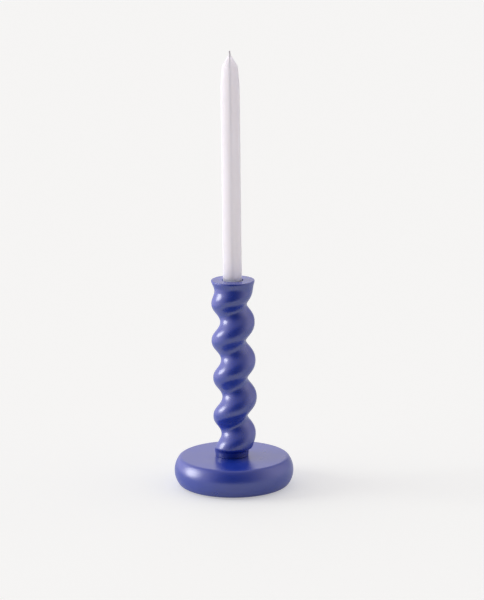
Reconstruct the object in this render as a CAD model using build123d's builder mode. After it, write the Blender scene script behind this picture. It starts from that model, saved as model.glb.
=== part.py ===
from build123d import *
import os
from math import cos, pi, radians, sin

os.makedirs("parts", exist_ok=True)

# Spiral candle holder of lacquered wood with its candle, in millimetres. +Z is up, and
# the origin is the middle of the face that stands on the table.

# Base: a turned disc whose side bulges between a flat top and a flat bottom
base_radius = 69.7
base_edge_radius = 63.3
base_thickness = 33.1
base_top_round = 5.0
base_foot_round = 5.5

# Felt disc glued under the base
felt_thickness = 1.5
felt_margin = 8.0

# Stem: collar at the foot, twist, neck and flared cup
stem_height = 211.0
collar_radius = 19.7
collar_height = 6.1
collar_shift_x = -2.2
collar_shift_y = 3.0
collar_foot_round = 0.6
collar_top_round = 0.4

# Twist: a round section whose centre runs up a helix
twist_radius = 20.4
twist_offset = 5.1
twist_lead = 44.9
twist_start_angle = 198.0
twist_foot_radius = 19.2
twist_settle = 6.6
twist_lag_angle = 36.0
twist_lag_height = 16.0
sections_per_turn = 8
settle_sections = 3

# The column leans out sideways a little and back again in its lower part
bow = 2.0
bow_length = 145.0

# Neck and lip, measured down from the rim
fade_depth = 35.8
neck_depth = 14.3
neck_radius = 22.1
rim_radius = 25.2
rim_edge = 2.2
rim_round = 0.7
flare_power = 1.7

# Candle, as bought: a straight dinner candle that narrows slowly, then ends in a rounded cone
candle_radius = 11.0
candle_length = 285.6
tip_height = 11.6
tip_radius = 1.9
tip_round = 0.7
shoulder_radius = 9.1
shoulder_round = 6.0
taper_height = 34.6
taper_round = 60.0
candle_foot_chamfer = 0.8
wick_radius = 1.1
wick_reach = 5.8
wick_end_round = 0.7

# Thin metal cup that lines the socket, its edge a little below the rim
candle_play = 0.5
candle_seat_gap = 0.3
cup_wall = 0.6
cup_height = 25.0
cup_sink = 0.8
cup_floor_round = 1.2
cup_glue_gap = 0.1
cup_edge_share = 0.4
mouth_round = 0.5

# Joint of stem and base: tenon, pocket, insert, screw and washer
tenon_radius = 12.0
tenon_length = 10.0
tenon_chamfer = 0.8
tenon_fit = 0.1
pocket_spare = 0.5
insert_radius = 5.0
insert_length = 13.0
insert_fit = 0.05
insert_groove_width = 0.8
insert_groove_depth = 0.5
insert_groove_count = 4
screw_radius = 3.0
screw_length = 25.0
screw_fit = 0.05
screw_end_chamfer = 0.8
screw_spare = 5.0
head_radius = 5.0
head_height = 6.0
head_round = 0.5
key_across_flats = 5.0
key_depth = 3.0
washer_radius = 9.0
washer_thickness = 1.6
washer_edge = 0.3
counterbore_depth = 14.0
counterbore_play = 0.5
shank_play = 0.3

# Levels that follow from the sizes above
base_bottom = felt_thickness
base_top = base_bottom + base_thickness
collar_top = base_top + collar_height
rim_level = base_top + stem_height
lip_level = rim_level - rim_edge
neck_level = rim_level - neck_depth
fade_level = rim_level - fade_depth
tenon_bottom = base_top - tenon_length
pocket_depth = tenon_length + pocket_spare
head_seat = base_bottom + counterbore_depth - washer_thickness
socket_radius = candle_radius + candle_play + cup_wall + cup_glue_gap
socket_depth = cup_height + cup_sink
socket_floor = rim_level - socket_depth
candle_bottom = socket_floor + cup_wall + candle_seat_gap
candle_top = candle_bottom + candle_length


def ease(share):
    """Smooth step from 0 to 1, level at both ends."""
    share = min(max(share, 0), 1)
    return share * share * (3 - 2 * share)


def stem_centre(level):
    """Centre of the stem's round section at a level."""
    settled = ease((level - collar_top) / twist_settle)
    reach = twist_offset * (1 - ease((level - fade_level) / fade_depth))
    lag = radians(twist_lag_angle) * (1 - ease((level - collar_top) / twist_lag_height))
    angle = radians(twist_start_angle) + lag + 2 * pi * (level - collar_top) / twist_lead
    along_bow = min((level - base_top) / bow_length, 1)
    lean = bow * sin(pi * along_bow) ** 2
    x = collar_shift_x + (lean + reach * cos(angle) - collar_shift_x) * settled
    y = collar_shift_y + (reach * sin(angle) - collar_shift_y) * settled
    return x, y


def stem_radius(level):
    """Radius of the stem's round section at a level."""
    if level > neck_level:
        lip_share = (level - neck_level) / (lip_level - neck_level)
        return neck_radius + (rim_radius - neck_radius) * lip_share ** flare_power
    neck_share = ease((level - fade_level) / (neck_level - fade_level))
    settled = ease((level - collar_top) / twist_settle)
    twist = twist_foot_radius + (twist_radius - twist_foot_radius) * settled
    return twist + (neck_radius - twist_radius) * neck_share


def stem_levels():
    """Levels of the sections, closer together where the collar turns into the twist."""
    twist_bottom = collar_top + twist_settle
    count = round((lip_level - twist_bottom) / twist_lead * sections_per_turn)
    settling = [collar_top + twist_settle * i / settle_sections for i in range(settle_sections)]
    return settling + [twist_bottom + (lip_level - twist_bottom) * i / count for i in range(count + 1)]


# Base, turned in one piece: pocket for the tenon above, counterbore for the screw below
with BuildPart() as base:
    with BuildSketch(Plane.XZ) as base_profile:
        with BuildLine():
            bulge = ThreePointArc(
                (base_edge_radius, base_bottom),
                (base_radius, base_bottom + base_thickness / 2),
                (base_edge_radius, base_top),
            )
            Polyline(bulge @ 1, (0, base_top), (0, base_bottom), bulge @ 0)
        make_face()
        foot_corner, top_corner = base_profile.vertices().group_by(Axis.X)[-1].sort_by(Axis.Y)
        fillet(foot_corner, base_foot_round)
        fillet(top_corner, base_top_round)
    revolve(axis=Axis.Z)
    with Locations(Plane.XY.offset(base_top)):
        Hole(tenon_radius + tenon_fit, pocket_depth)
    with Locations(-Plane.XY.offset(base_bottom)):
        CounterBoreHole(screw_radius + shank_play, washer_radius + counterbore_play, counterbore_depth)

# Felt disc under the base
with BuildPart() as base_felt:
    with BuildSketch():
        Circle(base_edge_radius - felt_margin)
    extrude(amount=felt_thickness)

# Stem: the twist is one smooth loft of round sections, between the collar and the lip's edge
with BuildPart() as stem:
    with BuildSketch(Plane.XY.offset(base_top)):
        with Locations(stem_centre(base_top)):
            Circle(collar_radius)
    extrude(amount=collar_height)
    fillet(stem.edges().group_by(Axis.Z)[-1], collar_top_round)
    fillet(stem.edges().group_by(Axis.Z)[0], collar_foot_round)
    for level in stem_levels():
        with BuildSketch(Plane.XY.offset(level)):
            with Locations(stem_centre(level)):
                Circle(stem_radius(level))
    loft()
    extrude(stem.faces().sort_by(Axis.Z)[-1], amount=rim_edge)
    fillet(stem.edges().group_by(Axis.Z)[-1], rim_round)
    with BuildSketch(Plane.XY.offset(base_top)):
        Circle(tenon_radius)
    extrude(amount=-tenon_length)
    chamfer(stem.edges().group_by(Axis.Z)[0], tenon_chamfer)
    with Locations(Plane.XY.offset(rim_level)):
        Hole(socket_radius, socket_depth)
    fillet(stem.faces().sort_by(Axis.Z)[-1].inner_wires()[0].edges(), mouth_round)
    with Locations(-Plane.XY.offset(tenon_bottom)):
        Hole(insert_radius + insert_fit, insert_length)
        Hole(screw_radius + shank_play, insert_length + screw_spare)

# Metal cup glued into the socket
with BuildPart() as candle_cup:
    with BuildSketch(Plane.XY.offset(socket_floor)):
        Circle(candle_radius + candle_play + cup_wall)
    extrude(amount=cup_height)
    fillet(candle_cup.edges().group_by(Axis.Z)[0], cup_floor_round)
    offset(amount=-cup_wall, openings=candle_cup.faces().sort_by(Axis.Z)[-1])
    cup_edge = candle_cup.faces().sort_by(Axis.Z)[-1]
    chamfer(cup_edge.inner_wires()[0].edges(), cup_wall * cup_edge_share)

# Threaded insert in the tenon, grooved outside where it bites into the wood
with BuildPart() as stem_insert:
    with BuildSketch(Plane.XY.offset(tenon_bottom)):
        Circle(insert_radius)
        Circle(screw_radius + screw_fit, mode=Mode.SUBTRACT)
    extrude(amount=insert_length)
    for i in range(insert_groove_count):
        groove_level = tenon_bottom + insert_length * (i + 1) / (insert_groove_count + 1)
        with BuildSketch(Plane.XY.offset(groove_level)):
            Circle(insert_radius)
            Circle(insert_radius - insert_groove_depth, mode=Mode.SUBTRACT)
        extrude(amount=insert_groove_width / 2, both=True, mode=Mode.SUBTRACT)

# Machine screw from below, with a hexagon socket in its round head
with BuildPart() as stem_screw:
    with BuildSketch(Plane.XY.offset(head_seat)):
        Circle(head_radius)
    extrude(amount=-head_height)
    fillet(stem_screw.edges().group_by(Axis.Z)[0], head_round)
    with BuildSketch(Plane.XY.offset(head_seat)):
        Circle(screw_radius)
    extrude(amount=screw_length)
    chamfer(stem_screw.edges().group_by(Axis.Z)[-1], screw_end_chamfer)
    with BuildSketch(Plane.XY.offset(head_seat - head_height)):
        RegularPolygon(key_across_flats / 2, 6, major_radius=False)
    extrude(amount=key_depth, mode=Mode.SUBTRACT)

# Washer under the head
with BuildPart() as screw_washer:
    with BuildSketch(Plane.XY.offset(head_seat)):
        Circle(washer_radius)
        Circle(screw_radius + shank_play, mode=Mode.SUBTRACT)
    extrude(amount=washer_thickness)
    chamfer(screw_washer.faces().sort_by(Axis.Z)[0].outer_wire().edges(), washer_edge)

# Candle: a moulded stick of wax with a hole for the wick all the way down
with BuildPart() as candle_wax:
    with BuildSketch(Plane.XZ) as wax_profile:
        with BuildLine():
            Polyline(
                (wick_radius, candle_bottom),
                (candle_radius, candle_bottom),
                (candle_radius, candle_top - taper_height),
                (shoulder_radius, candle_top - tip_height),
                (tip_radius, candle_top),
                (wick_radius, candle_top),
                close=True,
            )
        make_face()
        outer = wax_profile.vertices().sort_by(Axis.Y)
        foot_corner = outer[:2].sort_by(Axis.X)[-1]
        taper_foot, shoulder = outer[2:4]
        tip_corner = outer[4:].sort_by(Axis.X)[-1]
        fillet(taper_foot, taper_round)
        fillet(shoulder, shoulder_round)
        fillet(tip_corner, tip_round)
        chamfer(foot_corner, candle_foot_chamfer)
    revolve(axis=Axis.Z)

# Wick, from the candle's foot to its free end
with BuildPart() as candle_wick:
    with BuildSketch(Plane.XY.offset(candle_bottom)):
        Circle(wick_radius)
    extrude(amount=candle_length + wick_reach)
    fillet(candle_wick.edges().group_by(Axis.Z)[-1], wick_end_round)

pieces = {
    "base": base,
    "base_felt": base_felt,
    "stem": stem,
    "candle_cup": candle_cup,
    "stem_insert": stem_insert,
    "stem_screw": stem_screw,
    "screw_washer": screw_washer,
    "candle_wax": candle_wax,
    "candle_wick": candle_wick,
}
for name, piece in pieces.items():
    piece.part.label = name
    export_step(piece.part, f"parts/{name}.step")
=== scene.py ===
import math

import bmesh
import bpy
from mathutils import Matrix, Vector, noise


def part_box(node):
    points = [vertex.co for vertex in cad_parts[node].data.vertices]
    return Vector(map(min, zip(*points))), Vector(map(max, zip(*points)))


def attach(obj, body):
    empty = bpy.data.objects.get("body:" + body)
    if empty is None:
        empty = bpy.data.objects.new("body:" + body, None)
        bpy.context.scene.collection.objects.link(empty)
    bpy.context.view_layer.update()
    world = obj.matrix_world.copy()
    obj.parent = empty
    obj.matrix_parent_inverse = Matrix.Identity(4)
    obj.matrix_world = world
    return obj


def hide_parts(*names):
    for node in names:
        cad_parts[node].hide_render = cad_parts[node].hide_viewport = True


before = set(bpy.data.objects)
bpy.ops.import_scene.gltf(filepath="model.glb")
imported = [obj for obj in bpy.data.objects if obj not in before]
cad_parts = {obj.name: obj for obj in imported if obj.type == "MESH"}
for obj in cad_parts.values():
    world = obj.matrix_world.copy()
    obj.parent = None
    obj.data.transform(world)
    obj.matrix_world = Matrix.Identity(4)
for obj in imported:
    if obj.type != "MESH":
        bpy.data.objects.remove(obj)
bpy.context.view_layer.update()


# The base is a disc of beech, turned on a lathe with a flat top and a bulging side. It is
# bored from above for the stem's tenon and from below for the screw, then sprayed with
# a satin blue lacquer.

BASE_EDGE_ROUND = 0.005
BASE_FOOT_ROUND = 0.0055
BASE_FLAT_RADIUS = 0.0633
POCKET_RADIUS = 0.0121
POCKET_DEPTH = 0.0105
COUNTERBORE_RADIUS = 0.0095
COUNTERBORE_DEPTH = 0.014
SHANK_HOLE_RADIUS = 0.0033
BASE_SIDES = 192
SHARP_EDGE = math.radians(35)
LACQUER_BLUE = (0.003, 0.038, 0.42, 1)
LACQUER_IOR = 2.1

base_low, base_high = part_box("base")


def arc(centre, radius, start, end, steps):
    """Points (distance from axis, height) on an arc, its angles in degrees from level."""
    points = []
    for i in range(steps + 1):
        angle = math.radians(start + (end - start) * i / steps)
        points.append((centre[0] + radius * math.cos(angle), centre[1] + radius * math.sin(angle)))
    return points


def run(start, end, steps):
    """Points on a straight stretch, without its last one."""
    return [
        tuple(a + (b - a) * i / steps for a, b in zip(start, end))
        for i in range(steps)
    ]


def skin(name, rings, sides, closed=False):
    """Closed solid over a chain of level circles, each (x, y, height, radius)."""
    form = bmesh.new()
    loops = []
    for x, y, height, radius in rings:
        loops.append([
            form.verts.new((
                x + radius * math.cos(2 * math.pi * i / sides),
                y + radius * math.sin(2 * math.pi * i / sides),
                height,
            ))
            for i in range(sides)
        ])
    pairs = list(zip(loops, loops[1:]))
    if closed:
        pairs.append((loops[-1], loops[0]))
    for lower, upper in pairs:
        for i in range(sides):
            j = (i + 1) % sides
            form.faces.new((lower[i], lower[j], upper[j], upper[i]))
    if not closed:
        for loop, (x, y, height, radius) in ((loops[0], rings[0]), (loops[-1], rings[-1])):
            middle = form.verts.new((x, y, height))
            for i in range(sides):
                form.faces.new((loop[i], loop[(i + 1) % sides], middle))
    bmesh.ops.recalc_face_normals(form, faces=form.faces)
    mesh = bpy.data.meshes.new(name)
    form.to_mesh(mesh)
    form.free()
    mesh.shade_smooth()
    mesh.set_sharp_from_angle(angle=SHARP_EDGE)
    piece = bpy.data.objects.new(name, mesh)
    bpy.context.scene.collection.objects.link(piece)
    return piece


def turned(name, outline, sides, closed=False):
    """Piece turned about the upright axis from its outline of (radius, height) points."""
    return skin(name, [(0, 0, height, radius) for radius, height in outline], sides, closed)


def base_outline():
    """Outline of the disc: the bulge is one arc, with a round let into both its ends."""
    radius = base_high.x
    bottom, top = base_low.z, base_high.z
    half = (top - bottom) / 2
    out = radius - BASE_FLAT_RADIUS
    bulge = (half ** 2 + out ** 2) / (2 * out)
    centre = (radius - bulge, bottom + half)

    def corner(size, side):
        """Centre of the round at one end of the bulge, and the angle where they meet."""
        rise = half - size
        reach = math.sqrt((bulge - size) ** 2 - rise ** 2)
        angle = side * math.degrees(math.atan2(rise, reach))
        return (centre[0] + reach, centre[1] + side * rise), angle

    foot, foot_angle = corner(BASE_FOOT_ROUND, -1)
    edge, edge_angle = corner(BASE_EDGE_ROUND, 1)
    seat = bottom + COUNTERBORE_DEPTH
    pocket = top - POCKET_DEPTH
    outline = run((SHANK_HOLE_RADIUS, seat), (COUNTERBORE_RADIUS, seat), 2)
    outline += run((COUNTERBORE_RADIUS, seat), (COUNTERBORE_RADIUS, bottom), 3)
    outline += run((COUNTERBORE_RADIUS, bottom), (foot[0], bottom), 8)
    outline += arc(foot, BASE_FOOT_ROUND, -90, foot_angle, 10)[:-1]
    outline += arc(centre, bulge, foot_angle, edge_angle, 40)[:-1]
    outline += arc(edge, BASE_EDGE_ROUND, edge_angle, 90, 10)[:-1]
    outline += run((edge[0], top), (POCKET_RADIUS, top), 24)
    outline += run((POCKET_RADIUS, top), (POCKET_RADIUS, pocket), 3)
    outline += run((POCKET_RADIUS, pocket), (SHANK_HOLE_RADIUS, pocket), 2)
    outline += run((SHANK_HOLE_RADIUS, pocket), (SHANK_HOLE_RADIUS, seat), 3)
    return outline


def add(tree, kind, **settings):
    """Node in a shader tree, with its plain settings."""
    node = tree.nodes.new(kind)
    for key, value in settings.items():
        setattr(node, key, value)
    return node


def lacquer_group():
    """Sprayed lacquer: colour that varies a little, soft gloss, and a fine orange peel."""
    group = bpy.data.node_groups.new("sprayed_lacquer", "ShaderNodeTree")
    face = group.interface
    face.new_socket("Colour", in_out="INPUT", socket_type="NodeSocketColor")
    face.new_socket("Mottle", in_out="INPUT", socket_type="NodeSocketFloat")
    face.new_socket("Gloss", in_out="INPUT", socket_type="NodeSocketFloat")
    face.new_socket("Peel", in_out="INPUT", socket_type="NodeSocketFloat")
    face.new_socket("Peel Scale", in_out="INPUT", socket_type="NodeSocketFloat")
    face.new_socket("Colour", in_out="OUTPUT", socket_type="NodeSocketColor")
    face.new_socket("Roughness", in_out="OUTPUT", socket_type="NodeSocketFloat")
    face.new_socket("Normal", in_out="OUTPUT", socket_type="NodeSocketVector")
    inside = add(group, "NodeGroupInput")
    outside = add(group, "NodeGroupOutput")
    place = add(group, "ShaderNodeTexCoord")
    link = group.links.new

    cloud = add(group, "ShaderNodeTexNoise")
    cloud.inputs["Scale"].default_value = 38
    cloud.inputs["Detail"].default_value = 3
    link(place.outputs["Object"], cloud.inputs["Vector"])
    shade = add(group, "ShaderNodeMapRange")
    shade.inputs["From Min"].default_value = 0.3
    shade.inputs["From Max"].default_value = 0.7
    link(cloud.outputs["Fac"], shade.inputs["Value"])
    thin = add(group, "ShaderNodeHueSaturation")
    thin.inputs["Saturation"].default_value = 0.92
    thin.inputs["Value"].default_value = 1.35
    link(inside.outputs["Colour"], thin.inputs["Color"])
    amount = add(group, "ShaderNodeMath", operation="MULTIPLY")
    link(shade.outputs["Result"], amount.inputs[0])
    link(inside.outputs["Mottle"], amount.inputs[1])
    colour = add(group, "ShaderNodeMix", data_type="RGBA")
    link(amount.outputs[0], colour.inputs["Factor"])
    link(inside.outputs["Colour"], colour.inputs["A"])
    link(thin.outputs["Color"], colour.inputs["B"])
    link(colour.outputs["Result"], outside.inputs["Colour"])

    matt = add(group, "ShaderNodeMath", operation="MULTIPLY_ADD")
    matt.inputs[1].default_value = 0.05
    link(shade.outputs["Result"], matt.inputs[0])
    link(inside.outputs["Gloss"], matt.inputs[2])
    link(matt.outputs[0], outside.inputs["Roughness"])

    pebble = add(group, "ShaderNodeTexNoise")
    pebble.inputs["Detail"].default_value = 2
    link(place.outputs["Object"], pebble.inputs["Vector"])
    link(inside.outputs["Peel Scale"], pebble.inputs["Scale"])
    peel = add(group, "ShaderNodeBump")
    peel.inputs["Distance"].default_value = 0.0002
    link(inside.outputs["Peel"], peel.inputs["Strength"])
    link(pebble.outputs["Fac"], peel.inputs["Height"])
    link(peel.outputs["Normal"], outside.inputs["Normal"])
    return group


sprayed_lacquer = lacquer_group()


def lacquer_material(name, mottle, gloss, peel, peel_scale):
    """Blue lacquer with the sprayed surface in it."""
    material = bpy.data.materials.new(name)
    material.use_nodes = True
    tree = material.node_tree
    paint = tree.nodes["Principled BSDF"]
    spray = add(tree, "ShaderNodeGroup", node_tree=sprayed_lacquer)
    spray.inputs["Colour"].default_value = LACQUER_BLUE
    spray.inputs["Mottle"].default_value = mottle
    spray.inputs["Gloss"].default_value = gloss
    spray.inputs["Peel"].default_value = peel
    spray.inputs["Peel Scale"].default_value = peel_scale
    tree.links.new(spray.outputs["Colour"], paint.inputs["Base Color"])
    tree.links.new(spray.outputs["Roughness"], paint.inputs["Roughness"])
    tree.links.new(spray.outputs["Normal"], paint.inputs["Normal"])
    paint.inputs["IOR"].default_value = LACQUER_IOR
    return material


base = turned("base_disc", base_outline(), BASE_SIDES, closed=True)
base_lacquer = lacquer_material("base_lacquer", mottle=0.25, gloss=0.27, peel=0.12, peel_scale=700)
base.data.materials.append(base_lacquer)
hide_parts("base")
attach(base, "holder")


# The stem is carved and sanded from one square of beech: a round section whose middle
# climbs a right-handed helix, over a short undercut collar and under a flared cup. A tenon
# below the collar stands in the base. It has the same lacquer as the base.

STEM_BOTTOM = base_high.z
TENON_RADIUS = 0.012
TENON_CHAMFER = 0.0008
INSERT_HOLE_RADIUS = 0.00505
INSERT_HOLE_DEPTH = 0.013
SCREW_SPARE_DEPTH = 0.018
COLLAR_FOOT_RADIUS = 0.0193
COLLAR_TOP_RADIUS = 0.02
COLLAR_HEIGHT = 0.0061
COLLAR_SHIFT = (-0.0022, 0.003)
COLLAR_FOOT_ROUND = 0.0006
TWIST_RADIUS = 0.0201
TWIST_SWELL = 0.065
TWIST_OFFSET = 0.0051
TWIST_LEAD = 0.0449
TWIST_START = math.radians(198)
TWIST_SETTLE = 0.0066
TWIST_LAG = math.radians(36)
TWIST_LAG_HEIGHT = 0.016
BOW = 0.002
BOW_LENGTH = 0.145
FADE_DEPTH = 0.0358
NECK_DEPTH = 0.0143
NECK_RADIUS = 0.0221
RIM_RADIUS = 0.0252
RIM_EDGE = 0.0022
RIM_ROUND = 0.0007
FLARE_POWER = 1.7
SOCKET_RADIUS = 0.0122
SOCKET_DEPTH = 0.0258
MOUTH_ROUND = 0.0005
STEM_STEP = 0.001
STEM_SIDES = 128
OUTSIDE_SHARE = 0.9
# Painted shade: the lacquer's colour at the stem's foot is multiplied down to this.
FOOT_SHADE = 0.6
SANDING_DEPTH = 0.00008
SANDING_SIZE = 0.014

tenon_bottom, rim_level = (corner.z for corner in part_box("stem"))
collar_top = STEM_BOTTOM + COLLAR_HEIGHT
fade_level = rim_level - FADE_DEPTH
neck_level = rim_level - NECK_DEPTH
lip_level = rim_level - RIM_EDGE


def ease(share):
    """Smooth step from 0 to 1, level at both ends."""
    share = min(max(share, 0), 1)
    return share * share * (3 - 2 * share)


def twist_angle(level):
    """Direction of the twist's lean at a level; at the foot it climbs more slowly."""
    lag = TWIST_LAG * (1 - ease((level - collar_top) / TWIST_LAG_HEIGHT))
    return TWIST_START + lag + 2 * math.pi * (level - collar_top) / TWIST_LEAD


def stem_ring(level):
    """Circle of the twisted column at a level."""
    settled = ease((level - collar_top) / TWIST_SETTLE)
    reach = TWIST_OFFSET * (1 - ease((level - fade_level) / FADE_DEPTH))
    angle = twist_angle(level)
    lean = BOW * math.sin(math.pi * min((level - STEM_BOTTOM) / BOW_LENGTH, 1)) ** 2
    x = COLLAR_SHIFT[0] + (lean + reach * math.cos(angle) - COLLAR_SHIFT[0]) * settled
    y = COLLAR_SHIFT[1] + (reach * math.sin(angle) - COLLAR_SHIFT[1]) * settled
    radius = COLLAR_TOP_RADIUS + (TWIST_RADIUS - COLLAR_TOP_RADIUS) * settled
    radius += (NECK_RADIUS - TWIST_RADIUS) * ease((level - fade_level) / (neck_level - fade_level))
    if level > neck_level:
        flare = min((level - neck_level) / (lip_level - neck_level), 1) ** FLARE_POWER
        radius = NECK_RADIUS + (RIM_RADIUS - NECK_RADIUS) * flare
    return x, y, level, radius


def centred(points):
    """Circles on the upright axis from (radius, height) points."""
    return [(0, 0, height, radius) for radius, height in points]


def stem_rings():
    """Circles from the socket's floor up the bore, over the rim and down to the tenon."""
    floor = rim_level - SOCKET_DEPTH
    rings = centred(run((SOCKET_RADIUS, floor), (SOCKET_RADIUS, rim_level - MOUTH_ROUND), 12))
    mouth = (SOCKET_RADIUS + MOUTH_ROUND, rim_level - MOUTH_ROUND)
    rings += centred(arc(mouth, MOUTH_ROUND, 180, 90, 4))
    rings += centred(run((mouth[0], rim_level), (RIM_RADIUS - RIM_ROUND, rim_level), 8)[1:])
    for drop, inset in arc((0, 0), RIM_ROUND, 90, 0, 6):
        x, y, level, radius = stem_ring(rim_level - RIM_ROUND + inset)
        rings.append((x, y, level, radius - RIM_ROUND + drop))
    highest = rim_level - RIM_ROUND
    steps = round((highest - collar_top) / STEM_STEP)
    for i in range(1, steps + 1):
        rings.append(stem_ring(highest + (collar_top - highest) * i / steps))
    foot_round = (COLLAR_FOOT_RADIUS - COLLAR_FOOT_ROUND, STEM_BOTTOM + COLLAR_FOOT_ROUND)
    collar = run((COLLAR_TOP_RADIUS, collar_top), (COLLAR_FOOT_RADIUS, foot_round[1]), 4)[1:]
    collar += arc(foot_round, COLLAR_FOOT_ROUND, 0, -90, 5)
    rings += [(*COLLAR_SHIFT, height, reach) for reach, height in collar]
    chamfer = tenon_bottom + TENON_CHAMFER
    insert_top = tenon_bottom + INSERT_HOLE_DEPTH
    tenon = [(TENON_RADIUS, STEM_BOTTOM)]
    tenon += run((TENON_RADIUS, STEM_BOTTOM - TENON_CHAMFER), (TENON_RADIUS, chamfer), 4)
    tenon += [(TENON_RADIUS, chamfer), (TENON_RADIUS - TENON_CHAMFER, tenon_bottom)]
    tenon += [(INSERT_HOLE_RADIUS, tenon_bottom), (INSERT_HOLE_RADIUS, insert_top)]
    tenon += [(SHANK_HOLE_RADIUS, insert_top)]
    tenon += [(SHANK_HOLE_RADIUS, tenon_bottom + SCREW_SPARE_DEPTH)]
    return rings + centred(tenon)


def swell(piece):
    """Widens the twist across its lean, where the carver rounds over the ridge."""
    for point in piece.data.vertices:
        level = point.co.z
        if level <= collar_top or level >= rim_level - RIM_ROUND:
            continue
        x, y, _, radius = stem_ring(level)
        outward = Vector((point.co.x - x, point.co.y - y))
        if outward.length < radius * OUTSIDE_SHARE:
            continue
        angle = twist_angle(level)
        across = Vector((-math.sin(angle), math.cos(angle)))
        amount = TWIST_SWELL * ease((level - collar_top) / TWIST_SETTLE)
        amount *= 1 - ease((level - fade_level) / (neck_level - fade_level))
        outward += across * outward.dot(across) * amount
        point.co.x = x + outward.x
        point.co.y = y + outward.y


def sand(piece, lowest, depth, size):
    """Lets the outside wander by a hair, as hand sanding leaves it."""
    for point in piece.data.vertices:
        x, y, level, radius = stem_ring(point.co.z)
        outward = Vector((point.co.x - x, point.co.y - y, 0))
        if point.co.z > lowest and outward.length > radius - depth:
            point.co += outward.normalized() * depth * noise.noise(point.co / size)


def painted_foot_shade(material, low, high):
    """Painted shade: darkens the lacquer at a piece's foot, where shade falls in the recess, less
    and less up to a level.
    """
    tree = material.node_tree
    paint = tree.nodes["Principled BSDF"]
    place = add(tree, "ShaderNodeTexCoord")
    split = add(tree, "ShaderNodeSeparateXYZ")
    tree.links.new(place.outputs["Object"], split.inputs[0])
    fade = add(tree, "ShaderNodeMapRange")
    fade.inputs["From Min"].default_value = low
    fade.inputs["From Max"].default_value = high
    fade.inputs["To Min"].default_value = FOOT_SHADE
    tree.links.new(split.outputs["Z"], fade.inputs["Value"])
    sprayed = paint.inputs["Base Color"].links[0].from_socket
    colour = add(tree, "ShaderNodeMix", data_type="RGBA", blend_type="MULTIPLY")
    colour.inputs["Factor"].default_value = 1
    tree.links.new(sprayed, colour.inputs["A"])
    tree.links.new(fade.outputs["Result"], colour.inputs["B"])
    tree.links.new(colour.outputs["Result"], paint.inputs["Base Color"])


stem = skin("twisted_stem", stem_rings(), STEM_SIDES)
swell(stem)
sand(stem, collar_top, SANDING_DEPTH, SANDING_SIZE)
stem_lacquer = lacquer_material("stem_lacquer", mottle=0.3, gloss=0.25, peel=0.15, peel_scale=800)
# Painted shade darkens the collar and the twist's underside above it, fading out upwards.
painted_foot_shade(stem_lacquer, STEM_BOTTOM, collar_top + 2 * TWIST_SETTLE)
stem.data.materials.append(stem_lacquer)
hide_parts("stem")
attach(stem, "holder")


# A disc of wool felt is glued under the base. It hides the screw and keeps the lacquer
# off the table.

FELT_EDGE_ROUND = 0.0004
FELT_NAP = 0.00012
FELT_NAP_SIZE = 0.0016
FELT_SIDES = 160
FELT_MIDDLE_SHARE = 0.1
FELT_LIGHT = (0.035, 0.035, 0.045, 1)
FELT_DARK = (0.012, 0.012, 0.017, 1)

felt_low, felt_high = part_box("base_felt")


def felt_outline():
    """Flat disc with a soft cut edge."""
    radius = felt_high.x - FELT_NAP
    middle = FELT_MIDDLE_SHARE * radius
    edge = radius - FELT_EDGE_ROUND
    outline = run((middle, 0), (edge, 0), 20)
    outline += arc((edge, FELT_EDGE_ROUND), FELT_EDGE_ROUND, -90, 0, 3)
    outline += arc((edge, felt_high.z - FELT_EDGE_ROUND), FELT_EDGE_ROUND, 0, 90, 3)
    outline += run((edge, felt_high.z), (middle, felt_high.z), 6)[1:]
    return outline


def fibre_group():
    """Matted or spun fibres: a mottled colour and a short rough nap."""
    group = bpy.data.node_groups.new("fibres", "ShaderNodeTree")
    face = group.interface
    face.new_socket("Light", in_out="INPUT", socket_type="NodeSocketColor")
    face.new_socket("Dark", in_out="INPUT", socket_type="NodeSocketColor")
    face.new_socket("Fibre Scale", in_out="INPUT", socket_type="NodeSocketFloat")
    face.new_socket("Nap", in_out="INPUT", socket_type="NodeSocketFloat")
    face.new_socket("Colour", in_out="OUTPUT", socket_type="NodeSocketColor")
    face.new_socket("Normal", in_out="OUTPUT", socket_type="NodeSocketVector")
    inside = add(group, "NodeGroupInput")
    outside = add(group, "NodeGroupOutput")
    place = add(group, "ShaderNodeTexCoord")
    link = group.links.new
    strand = add(group, "ShaderNodeTexNoise")
    strand.inputs["Detail"].default_value = 5
    strand.inputs["Distortion"].default_value = 2.5
    link(place.outputs["Object"], strand.inputs["Vector"])
    link(inside.outputs["Fibre Scale"], strand.inputs["Scale"])
    contrast = add(group, "ShaderNodeMapRange")
    contrast.inputs["From Min"].default_value = 0.35
    contrast.inputs["From Max"].default_value = 0.65
    link(strand.outputs["Fac"], contrast.inputs["Value"])
    colour = add(group, "ShaderNodeMix", data_type="RGBA")
    link(contrast.outputs["Result"], colour.inputs["Factor"])
    link(inside.outputs["Dark"], colour.inputs["A"])
    link(inside.outputs["Light"], colour.inputs["B"])
    link(colour.outputs["Result"], outside.inputs["Colour"])
    nap = add(group, "ShaderNodeBump")
    nap.inputs["Distance"].default_value = 0.0005
    link(inside.outputs["Nap"], nap.inputs["Strength"])
    link(contrast.outputs["Result"], nap.inputs["Height"])
    link(nap.outputs["Normal"], outside.inputs["Normal"])
    return group


fibres = fibre_group()


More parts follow.
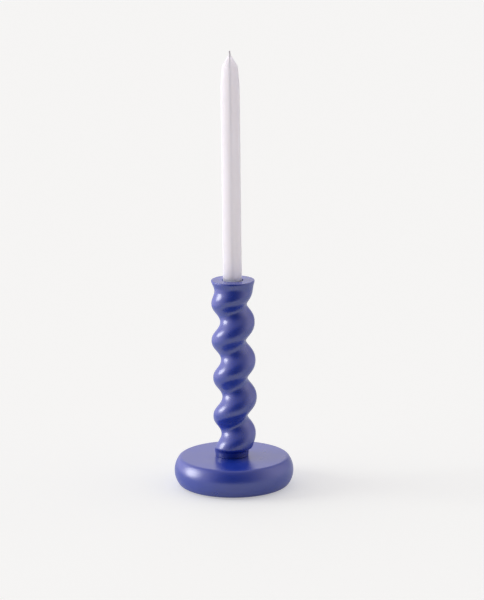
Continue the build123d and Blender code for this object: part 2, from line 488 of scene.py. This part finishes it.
def fibre_material(name, light, dark, scale, nap, sheen):
    """Cloth-like material with the fibres in it."""
    material = bpy.data.materials.new(name)
    material.use_nodes = True
    tree = material.node_tree
    cloth = tree.nodes["Principled BSDF"]
    hair = add(tree, "ShaderNodeGroup", node_tree=fibres)
    hair.inputs["Light"].default_value = light
    hair.inputs["Dark"].default_value = dark
    hair.inputs["Fibre Scale"].default_value = scale
    hair.inputs["Nap"].default_value = nap
    tree.links.new(hair.outputs["Colour"], cloth.inputs["Base Color"])
    tree.links.new(hair.outputs["Normal"], cloth.inputs["Normal"])
    cloth.inputs["Roughness"].default_value = 0.95
    cloth.inputs["Sheen Weight"].default_value = sheen
    cloth.inputs["Sheen Roughness"].default_value = 0.6
    return material


felt = turned("felt_disc", felt_outline(), FELT_SIDES)
for point in felt.data.vertices:
    if 0 < point.co.z:
        outward = Vector((point.co.x, point.co.y, 0)).normalized()
        point.co += outward * FELT_NAP * noise.noise(point.co / FELT_NAP_SIZE)
wool = fibre_material("felt", FELT_LIGHT, FELT_DARK, scale=900, nap=0.8, sheen=0.5)
felt.data.materials.append(wool)
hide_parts("base_felt")
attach(felt, "holder")


# A cup drawn from thin tinplate is glued into the stem's socket, its edge just below the
# rim. It keeps a low flame off the wood and takes up the candle's drips.

CUP_WALL = 0.0006
CUP_FLOOR_ROUND = 0.0012
CUP_EDGE_ROUND = 0.0002
CUP_SPRAYED = 0.006
CUP_SIDES = 96
CUP_MIDDLE_SHARE = 0.2
TIN = (0.62, 0.61, 0.58, 1)
TIN_DULLED = (0.42, 0.41, 0.39, 1)

cup_low, cup_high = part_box("candle_cup")


def cup_outline():
    """Outline of the cup from the middle of its underside to the middle of its floor."""
    radius = cup_high.x
    bottom, top = cup_low.z, cup_high.z
    inner_round = CUP_FLOOR_ROUND - CUP_WALL
    middle = CUP_MIDDLE_SHARE * radius
    outline = run((middle, bottom), (radius - CUP_FLOOR_ROUND, bottom), 4)
    corner = (radius - CUP_FLOOR_ROUND, bottom + CUP_FLOOR_ROUND)
    outline += arc(corner, CUP_FLOOR_ROUND, -90, 0, 6)
    outline += run((radius, bottom + CUP_FLOOR_ROUND), (radius, top - CUP_EDGE_ROUND), 8)[1:]
    corner = (radius - CUP_EDGE_ROUND, top - CUP_EDGE_ROUND)
    outline += arc(corner, CUP_EDGE_ROUND, 0, 90, 3)
    edge = radius - CUP_WALL + CUP_EDGE_ROUND
    outline += arc((edge, top - CUP_EDGE_ROUND), CUP_EDGE_ROUND, 90, 180, 3)
    inner = radius - CUP_WALL
    floor = bottom + CUP_WALL
    outline += run((inner, top - CUP_EDGE_ROUND), (inner, floor + inner_round), 8)[1:]
    outline += arc((inner - inner_round, floor + inner_round), inner_round, 0, -90, 5)
    outline += run((inner - inner_round, floor), (middle, floor), 4)[1:]
    return outline


def metal_group():
    """Worked metal: fine rings from the lathe or the drawing die, and dull patches."""
    group = bpy.data.node_groups.new("worked_metal", "ShaderNodeTree")
    face = group.interface
    face.new_socket("Colour", in_out="INPUT", socket_type="NodeSocketColor")
    face.new_socket("Dulled", in_out="INPUT", socket_type="NodeSocketColor")
    face.new_socket("Gloss", in_out="INPUT", socket_type="NodeSocketFloat")
    face.new_socket("Ring Scale", in_out="INPUT", socket_type="NodeSocketFloat")
    face.new_socket("Colour", in_out="OUTPUT", socket_type="NodeSocketColor")
    face.new_socket("Roughness", in_out="OUTPUT", socket_type="NodeSocketFloat")
    face.new_socket("Normal", in_out="OUTPUT", socket_type="NodeSocketVector")
    inside = add(group, "NodeGroupInput")
    outside = add(group, "NodeGroupOutput")
    place = add(group, "ShaderNodeTexCoord")
    link = group.links.new
    patch = add(group, "ShaderNodeTexNoise")
    patch.inputs["Scale"].default_value = 220
    patch.inputs["Detail"].default_value = 6
    link(place.outputs["Object"], patch.inputs["Vector"])
    colour = add(group, "ShaderNodeMix", data_type="RGBA")
    link(patch.outputs["Fac"], colour.inputs["Factor"])
    link(inside.outputs["Colour"], colour.inputs["A"])
    link(inside.outputs["Dulled"], colour.inputs["B"])
    link(colour.outputs["Result"], outside.inputs["Colour"])
    matt = add(group, "ShaderNodeMath", operation="MULTIPLY_ADD")
    matt.inputs[1].default_value = 0.18
    link(patch.outputs["Fac"], matt.inputs[0])
    link(inside.outputs["Gloss"], matt.inputs[2])
    link(matt.outputs[0], outside.inputs["Roughness"])
    rings = add(group, "ShaderNodeTexWave", wave_type="BANDS", bands_direction="Z")
    rings.inputs["Distortion"].default_value = 0.4
    link(place.outputs["Object"], rings.inputs["Vector"])
    link(inside.outputs["Ring Scale"], rings.inputs["Scale"])
    groove = add(group, "ShaderNodeBump")
    groove.inputs["Strength"].default_value = 0.25
    groove.inputs["Distance"].default_value = 0.00005
    link(rings.outputs["Fac"], groove.inputs["Height"])
    link(groove.outputs["Normal"], outside.inputs["Normal"])
    return group


worked_metal = metal_group()


def metal_material(name, colour, dulled, gloss, ring_scale):
    """Bare or plated metal with the worked surface in it."""
    material = bpy.data.materials.new(name)
    material.use_nodes = True
    tree = material.node_tree
    metal = tree.nodes["Principled BSDF"]
    surface = add(tree, "ShaderNodeGroup", node_tree=worked_metal)
    surface.inputs["Colour"].default_value = colour
    surface.inputs["Dulled"].default_value = dulled
    surface.inputs["Gloss"].default_value = gloss
    surface.inputs["Ring Scale"].default_value = ring_scale
    tree.links.new(surface.outputs["Colour"], metal.inputs["Base Color"])
    tree.links.new(surface.outputs["Roughness"], metal.inputs["Roughness"])
    tree.links.new(surface.outputs["Normal"], metal.inputs["Normal"])
    metal.inputs["Metallic"].default_value = 1
    return material


def oversprayed(material, level, depth):
    """Lets the lacquer's spray cover the metal from a depth below a level upwards."""
    tree = material.node_tree
    metal = tree.nodes["Principled BSDF"]
    place = add(tree, "ShaderNodeTexCoord")
    split = add(tree, "ShaderNodeSeparateXYZ")
    tree.links.new(place.outputs["Object"], split.inputs[0])
    cover = add(tree, "ShaderNodeMapRange")
    cover.inputs["From Min"].default_value = level - depth
    cover.inputs["From Max"].default_value = level - depth / 2
    tree.links.new(split.outputs["Z"], cover.inputs["Value"])
    bare = metal.inputs["Base Color"].links[0].from_socket
    colour = add(tree, "ShaderNodeMix", data_type="RGBA")
    tree.links.new(cover.outputs["Result"], colour.inputs["Factor"])
    tree.links.new(bare, colour.inputs["A"])
    colour.inputs["B"].default_value = LACQUER_BLUE
    tree.links.new(colour.outputs["Result"], metal.inputs["Base Color"])
    shine = add(tree, "ShaderNodeMath", operation="SUBTRACT")
    shine.inputs[0].default_value = 1
    tree.links.new(cover.outputs["Result"], shine.inputs[1])
    tree.links.new(shine.outputs[0], metal.inputs["Metallic"])


cup = turned("socket_cup", cup_outline(), CUP_SIDES)
tinplate = metal_material("cup_tinplate", TIN, TIN_DULLED, gloss=0.28, ring_scale=1600)
oversprayed(tinplate, cup_high.z, CUP_SPRAYED)
cup.data.materials.append(tinplate)
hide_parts("candle_cup")
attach(cup, "holder")


# The stem is drawn down on the base by a machine screw and washer, zinc plated, that bite
# into a brass insert in the tenon. They sit in the counterbore, behind the felt.

ZINC = (0.56, 0.57, 0.6, 1)
ZINC_DULLED = (0.36, 0.37, 0.4, 1)
BRASS = (0.72, 0.5, 0.2, 1)
BRASS_DULLED = (0.45, 0.3, 0.12, 1)

for node, slot, colour, dulled in (
    ("stem_screw", "screw_steel", ZINC, ZINC_DULLED),
    ("screw_washer", "washer_steel", ZINC, ZINC_DULLED),
    ("stem_insert", "insert_brass", BRASS, BRASS_DULLED),
):
    finish = metal_material(slot + "_finish", colour, dulled, gloss=0.2, ring_scale=2400)
    for material_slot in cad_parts[node].material_slots:
        material_slot.material = finish


# The candle is a straight stick of white wax, pointed with a rounded cone. The wax closes
# in on the braid of the wick. The candle stands loose in its cup and leans a hair to the
# left, towards the cup's wall.

WAX_TAPER_HEIGHT = 0.0346
WAX_TAPER_ROUND = 0.06
WAX_TAPER_LEAD = 0.006
WAX_SHOULDER_RADIUS = 0.0091
WAX_SHOULDER_ROUND = 0.006
WAX_TIP_HEIGHT = 0.0116
WAX_TIP_RADIUS = 0.0019
WAX_TIP_ROUND = 0.0007
WAX_FOOT_CHAMFER = 0.0008
WICK_HOLE_RADIUS = 0.0003
WAX_SIDES = 96
CANDLE_SHIFT = -0.0003
CANDLE_LEAN = math.radians(0.31)
WAX_WHITE = (0.9, 0.935, 0.92, 1)
WAX_CLOUDED = (0.87, 0.905, 0.89, 1)
WAX_WANDER = 0.00006
WAX_WANDER_SIZE = 0.02
WAX_WANDER_REACH = 0.003

wax_low, wax_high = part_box("candle_wax")


def leant(points):
    """Circles of the candle from (radius, height) points: it leans from its foot up."""
    return [
        (CANDLE_SHIFT - (height - wax_low.z) * math.tan(CANDLE_LEAN), 0, height, radius)
        for radius, height in points
    ]


def rounded(start, corner, end, size, steps):
    """Points of an arc of the given size that rounds the corner between two straight lines."""
    here = Vector(corner)
    back = (Vector(start) - here).normalized()
    on = (Vector(end) - here).normalized()
    half = back.angle(on) / 2
    middle = here + (back + on).normalized() * size / math.sin(half)
    first = here + back * size / math.tan(half) - middle
    last = here + on * size / math.tan(half) - middle
    sweep = math.pi - 2 * half
    if first.x * last.y < first.y * last.x:
        sweep = -sweep
    return [tuple(middle + Matrix.Rotation(sweep * i / steps, 2) @ first) for i in range(steps + 1)]


def wax_outline():
    """Outline of the wax: up its side, over the slow taper and the cone, down along the wick."""
    radius = wax_high.x
    bottom, top = wax_low.z, wax_high.z
    foot = (radius, bottom + WAX_FOOT_CHAMFER)
    taper = (radius, top - WAX_TAPER_HEIGHT)
    shoulder = (WAX_SHOULDER_RADIUS, top - WAX_TIP_HEIGHT)
    tip = (WAX_TIP_RADIUS, top)
    hole = (WICK_HOLE_RADIUS, top)
    chamfer = (radius - WAX_FOOT_CHAMFER, bottom)
    outline = run((WICK_HOLE_RADIUS, bottom), chamfer, 3)
    outline += run(chamfer, foot, 2)
    outline += run(foot, (radius, taper[1] - WAX_TAPER_LEAD), 110)
    outline += rounded(foot, taper, shoulder, WAX_TAPER_ROUND, 8)
    outline += rounded(taper, shoulder, tip, WAX_SHOULDER_ROUND, 10)
    outline += rounded(shoulder, tip, hole, WAX_TIP_ROUND, 5)
    outline += run(hole, (WICK_HOLE_RADIUS, bottom), 60)
    return outline


def wax_material():
    """White wax: light sinks deep in, under a skin with faint clouds and ripples."""
    material = bpy.data.materials.new("candle_white")
    material.use_nodes = True
    tree = material.node_tree
    link = tree.links.new
    wax = tree.nodes["Principled BSDF"]
    place = add(tree, "ShaderNodeTexCoord")
    cloud = add(tree, "ShaderNodeTexNoise")
    cloud.inputs["Scale"].default_value = 60
    cloud.inputs["Detail"].default_value = 4
    link(place.outputs["Object"], cloud.inputs["Vector"])
    colour = add(tree, "ShaderNodeMix", data_type="RGBA")
    colour.inputs["A"].default_value = WAX_WHITE
    colour.inputs["B"].default_value = WAX_CLOUDED
    link(cloud.outputs["Fac"], colour.inputs["Factor"])
    link(colour.outputs["Result"], wax.inputs["Base Color"])
    skin_noise = add(tree, "ShaderNodeTexNoise")
    skin_noise.inputs["Scale"].default_value = 900
    skin_noise.inputs["Detail"].default_value = 3
    link(place.outputs["Object"], skin_noise.inputs["Vector"])
    ripple = add(tree, "ShaderNodeBump")
    ripple.inputs["Strength"].default_value = 0.1
    ripple.inputs["Distance"].default_value = 0.0002
    link(skin_noise.outputs["Fac"], ripple.inputs["Height"])
    link(ripple.outputs["Normal"], wax.inputs["Normal"])
    matt = add(tree, "ShaderNodeMath", operation="MULTIPLY_ADD")
    matt.inputs[1].default_value = 0.12
    matt.inputs[2].default_value = 0.4
    link(cloud.outputs["Fac"], matt.inputs[0])
    link(matt.outputs[0], wax.inputs["Roughness"])
    wax.inputs["IOR"].default_value = 1.44
    wax.inputs["Subsurface Weight"].default_value = 1.0
    wax.inputs["Subsurface Radius"].default_value = (1.0, 0.9, 0.8)
    wax.inputs["Subsurface Scale"].default_value = 0.15
    wax.inputs["Specular IOR Level"].default_value = 0.15
    return material


candle = skin("wax_stick", leant(wax_outline()), WAX_SIDES, closed=True)
for point in candle.data.vertices:
    outward = Vector((point.co.x, point.co.y, 0))
    if outward.length > WAX_WANDER_REACH:
        drift = noise.noise(point.co / WAX_WANDER_SIZE) - 1
        point.co += outward.normalized() * WAX_WANDER * drift
candle.data.materials.append(wax_material())
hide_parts("candle_wax")
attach(candle, "candle")


# The wick is braided from cotton strands and runs down the middle of the candle. Its free
# end is stiff with wax, curls a little to the left and is cut off square.

STRAND_COUNT = 3
STRAND_RADIUS = 0.00052
BRAID_RADIUS = 0.00052
BRAID_LAY = 0.0052
STRAND_STEP = 0.0003
STRAND_SIDES = 10
STRAND_SHARP_EDGE = math.radians(50)
BRAID_FLATNESS = 0.8
CUT_SHARE = 0.7
SLOPE_SHARE = 0.001
WICK_CURL = 0.0005
WICK_WHITE = (0.95, 0.94, 0.92, 1)
WICK_SHADE = (0.88, 0.87, 0.84, 1)

wick_low, wick_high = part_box("candle_wick")


def wick_middle(height):
    """Middle of the wick at a height: straight in the wax, curling a little above it."""
    x = CANDLE_SHIFT - (height - wax_low.z) * math.tan(CANDLE_LEAN)
    free = max(height - wax_high.z, 0) / (wick_high.z - wax_high.z)
    return Vector((x - WICK_CURL * free ** 2, 0, height))


def braid(form, phase):
    """One strand of the braid as a closed tube."""
    low = wick_low.z + STRAND_RADIUS
    high = wick_high.z - STRAND_RADIUS * CUT_SHARE
    steps = round((high - low) / STRAND_STEP)

    def place(share):
        """Middle of the strand at a share of the wick's length."""
        height = low + (high - low) * share
        turn = 2 * math.pi * (height - low) / BRAID_LAY + phase
        swing = Vector((math.cos(turn), math.sin(turn) * BRAID_FLATNESS, 0)) * BRAID_RADIUS
        return wick_middle(height) + swing

    loops = []
    for i in range(steps + 1):
        share = i / steps
        middle = place(share)
        along = place(min(share + SLOPE_SHARE, 1)) - place(max(share - SLOPE_SHARE, 0))
        along.normalize()
        side = along.cross(Vector((0, 1, 0))).normalized()
        front = along.cross(side).normalized()
        loops.append([
            form.verts.new(
                middle
                + side * STRAND_RADIUS * math.cos(2 * math.pi * k / STRAND_SIDES)
                + front * STRAND_RADIUS * math.sin(2 * math.pi * k / STRAND_SIDES)
            )
            for k in range(STRAND_SIDES)
        ])
    for lower, upper in zip(loops, loops[1:]):
        for k in range(STRAND_SIDES):
            j = (k + 1) % STRAND_SIDES
            form.faces.new((lower[k], lower[j], upper[j], upper[k]))
    form.faces.new(loops[0])
    form.faces.new(loops[-1])


def wick_piece():
    """All strands of the wick as one piece."""
    form = bmesh.new()
    for i in range(STRAND_COUNT):
        braid(form, 2 * math.pi * i / STRAND_COUNT)
    bmesh.ops.recalc_face_normals(form, faces=form.faces)
    mesh = bpy.data.meshes.new("braided_wick")
    form.to_mesh(mesh)
    form.free()
    mesh.shade_smooth()
    mesh.set_sharp_from_angle(angle=STRAND_SHARP_EDGE)
    piece = bpy.data.objects.new("braided_wick", mesh)
    bpy.context.scene.collection.objects.link(piece)
    return piece


wick = wick_piece()
cotton = fibre_material("wick_cotton", WICK_WHITE, WICK_SHADE, scale=2600, nap=0.15, sheen=0.8)
wick.data.materials.append(cotton)
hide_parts("candle_wick")
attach(wick, "candle")


# The studio: a sheet of pale paper whose front and left edges lie just out of the picture
# and that runs far back, a wide soft key light low on the left, pale walls beside and
# behind, and a dark room behind the camera.

FLOOR_FRONT_LEFT = (-0.33, -0.43, 0)
FLOOR_FRONT_RIGHT = (1.2, -0.43, 0)
FLOOR_BACK_RIGHT = (2.6, 14.0, 0)
FLOOR_BACK_LEFT = (-1.65, 14.0, 0)
FLOOR_PALE = (0.68, 0.72, 0.645, 1)
FLOOR_GLOW = (0.415, 0.41, 0.413, 1)
FLOOR_MIRRORED = 0.45
BACKDROP = (0.905, 0.905, 0.888, 1)
KEY_STRENGTH = 1.2
KEY_ELEVATION = math.radians(16)
KEY_BEHIND = math.radians(3)
KEY_SPREAD = math.radians(32)
ROOM_TINT = (1.6, 1.48, 1.64, 1)
ROOM_CEILING = (0.6, 0.56, 0.62, 1)
# Brightness of the walls by degrees round the room, from straight behind over the right.
ROOM_WALLS = (
    (0, 0.7),
    (30, 0.22),
    (60, 0.53),
    (90, 0.62),
    (120, 0.35),
    (150, 0.09),
    (180, 0.03),
    (210, 0.1),
    (240, 0.52),
    (270, 0.82),
    (300, 0.82),
    (330, 0.7),
    (360, 0.7),
)
CEILING_STARTS = 0.6
CEILING_WHOLE = 0.85
CEILING_FRONT = 0.12
BEHIND_STARTS = 0.7
BEHIND_WHOLE = 0.9
BEHIND_SHARE = 0.41


def mixed(tree, kind, factor, first, second):
    """Two colours put together, each a socket or a plain colour."""
    node = add(tree, "ShaderNodeMix", data_type="RGBA", blend_type=kind)
    for name, value in (("Factor", factor), ("A", first), ("B", second)):
        if isinstance(value, bpy.types.NodeSocket):
            tree.links.new(value, node.inputs[name])
        else:
            node.inputs[name].default_value = value
    return node.outputs["Result"]


def straight_rays(tree):
    """Two marks, 1 or 0: a ray from the camera, and one out of a mirror or through glass."""
    path = add(tree, "ShaderNodeLightPath")
    mirrored = add(tree, "ShaderNodeMath", operation="MAXIMUM")
    tree.links.new(path.outputs["Is Glossy Ray"], mirrored.inputs[0])
    tree.links.new(path.outputs["Is Transmission Ray"], mirrored.inputs[1])
    return path.outputs["Is Camera Ray"], mirrored.outputs[0]


def floor_piece():
    """Floor as one large sheet of pale matt paper that widens towards the back."""
    mesh = bpy.data.meshes.new("studio_floor")
    corners = [FLOOR_FRONT_LEFT, FLOOR_FRONT_RIGHT, FLOOR_BACK_RIGHT, FLOOR_BACK_LEFT]
    mesh.from_pydata(corners, [], [(0, 1, 2, 3)])
    piece = bpy.data.objects.new("studio_floor", mesh)
    bpy.context.scene.collection.objects.link(piece)
    material = bpy.data.materials.new("studio_paper")
    material.use_nodes = True
    tree = material.node_tree
    paper = tree.nodes["Principled BSDF"]
    paper.inputs["Base Color"].default_value = FLOOR_PALE
    paper.inputs["Roughness"].default_value = 0.9
    paper.inputs["Specular IOR Level"].default_value = 0
    paper.inputs["Emission Strength"].default_value = 1
    seen, mirrored = straight_rays(tree)
    dimmed = add(tree, "ShaderNodeMath", operation="MULTIPLY")
    dimmed.inputs[1].default_value = FLOOR_MIRRORED
    tree.links.new(mirrored, dimmed.inputs[0])
    shown = add(tree, "ShaderNodeMath", operation="MAXIMUM")
    tree.links.new(seen, shown.inputs[0])
    tree.links.new(dimmed.outputs[0], shown.inputs[1])
    glow = mixed(tree, "MIX", shown.outputs[0], (0, 0, 0, 1), FLOOR_GLOW)
    tree.links.new(glow, paper.inputs["Emission Color"])
    mesh.materials.append(material)
    return piece


floor_piece()

key = bpy.data.objects.new("key_light", bpy.data.lights.new("key_light", "SUN"))
key.data.energy = KEY_STRENGTH
key.data.angle = KEY_SPREAD
towards_key = Vector((
    -math.cos(KEY_ELEVATION) * math.cos(KEY_BEHIND),
    math.cos(KEY_ELEVATION) * math.sin(KEY_BEHIND),
    math.sin(KEY_ELEVATION),
))
key.rotation_euler = towards_key.to_track_quat("Z", "Y").to_euler()
bpy.context.scene.collection.objects.link(key)


def grey_ramp(tree, value, stops):
    """Brightness that follows a value through (value, brightness) stops."""
    node = add(tree, "ShaderNodeValToRGB")
    ramp = node.color_ramp
    ramp.elements.remove(ramp.elements[1])
    for i, (position, grey) in enumerate(stops):
        stop = ramp.elements[0] if i == 0 else ramp.elements.new(position)
        stop.position = position
        stop.color = (grey, grey, grey, 1)
    tree.links.new(value, node.inputs["Fac"])
    return node.outputs["Color"]


def turned_round(tree, split):
    """Direction round the room: 0 straight behind, a quarter at the right, half at the camera."""
    sides = []
    for name in ("X", "Y"):
        node = add(tree, "ShaderNodeMath", operation="MULTIPLY")
        node.inputs[1].default_value = -1
        tree.links.new(split.outputs[name], node.inputs[0])
        sides.append(node.outputs[0])
    angle = add(tree, "ShaderNodeMath", operation="ARCTAN2")
    tree.links.new(sides[0], angle.inputs[0])
    tree.links.new(sides[1], angle.inputs[1])
    node = add(tree, "ShaderNodeMath", operation="MULTIPLY_ADD")
    node.inputs[1].default_value = 0.5 / math.pi
    node.inputs[2].default_value = 0.5
    tree.links.new(angle.outputs[0], node.inputs[0])
    return node.outputs[0]


def turned_half(tree, split):
    """0 towards the camera, a half overhead and 1 straight behind."""
    node = add(tree, "ShaderNodeMath", operation="MULTIPLY_ADD")
    node.inputs[1].default_value = 0.5
    node.inputs[2].default_value = 0.5
    tree.links.new(split.outputs["Y"], node.inputs[0])
    return node.outputs[0]


def studio_world():
    """Walls of the room as they light and mirror in the object, and the pale backdrop."""
    world = bpy.data.worlds.new("studio_room")
    world.use_nodes = True
    tree = world.node_tree
    place = add(tree, "ShaderNodeTexCoord")
    split = add(tree, "ShaderNodeSeparateXYZ")
    tree.links.new(place.outputs["Generated"], split.inputs[0])
    stops = [(degrees / 360, brightness) for degrees, brightness in ROOM_WALLS]
    walls = grey_ramp(tree, turned_round(tree, split), stops)
    walls = mixed(tree, "MULTIPLY", 1.0, walls, ROOM_TINT)
    above = grey_ramp(tree, split.outputs["Z"], ((CEILING_STARTS, 0.0), (CEILING_WHOLE, 1.0)))
    fall = ((0.0, CEILING_FRONT), (0.5, 1.0))
    ceiling = grey_ramp(tree, turned_half(tree, split), fall)
    ceiling = mixed(tree, "MULTIPLY", 1.0, ceiling, ROOM_CEILING)
    room = mixed(tree, "MIX", above, walls, ceiling)
    seen, mirrored = straight_rays(tree)
    behind = add(tree, "ShaderNodeMath", operation="MULTIPLY")
    tree.links.new(mirrored, behind.inputs[0])
    rise = ((BEHIND_STARTS, 0.0), (BEHIND_WHOLE, BEHIND_SHARE))
    tree.links.new(grey_ramp(tree, split.outputs["Y"], rise), behind.inputs[1])
    shown = add(tree, "ShaderNodeMath", operation="MAXIMUM")
    tree.links.new(seen, shown.inputs[0])
    tree.links.new(behind.outputs[0], shown.inputs[1])
    light = mixed(tree, "MIX", shown.outputs[0], room, BACKDROP)
    tree.links.new(light, tree.nodes["Background"].inputs["Color"])
    return world


scene = bpy.context.scene
scene.world = studio_world()
scene.view_settings.view_transform = "Standard"


# The camera stands where the photograph was taken from: level with the middle of a tall
# candle, 3.2 m away, a little to the right, looking down at the holder.

CAMERA_PLACE = Vector((0.0105, -3.2, 0.968))
CAMERA_SENSOR = 36
CAMERA_PITCH = math.radians(13.13)
CAMERA_ROLL = math.radians(0.33)
CAMERA_LENS = 170.3

lens = bpy.data.cameras.new("camera")
lens.lens = CAMERA_LENS
lens.sensor_width = CAMERA_SENSOR
camera = bpy.data.objects.new("camera", lens)
turn = Matrix.Rotation(math.pi / 2 - CAMERA_PITCH, 4, "X") @ Matrix.Rotation(-CAMERA_ROLL, 4, "Z")
camera.matrix_world = Matrix.Translation(CAMERA_PLACE) @ turn
scene.collection.objects.link(camera)
scene.camera = camera
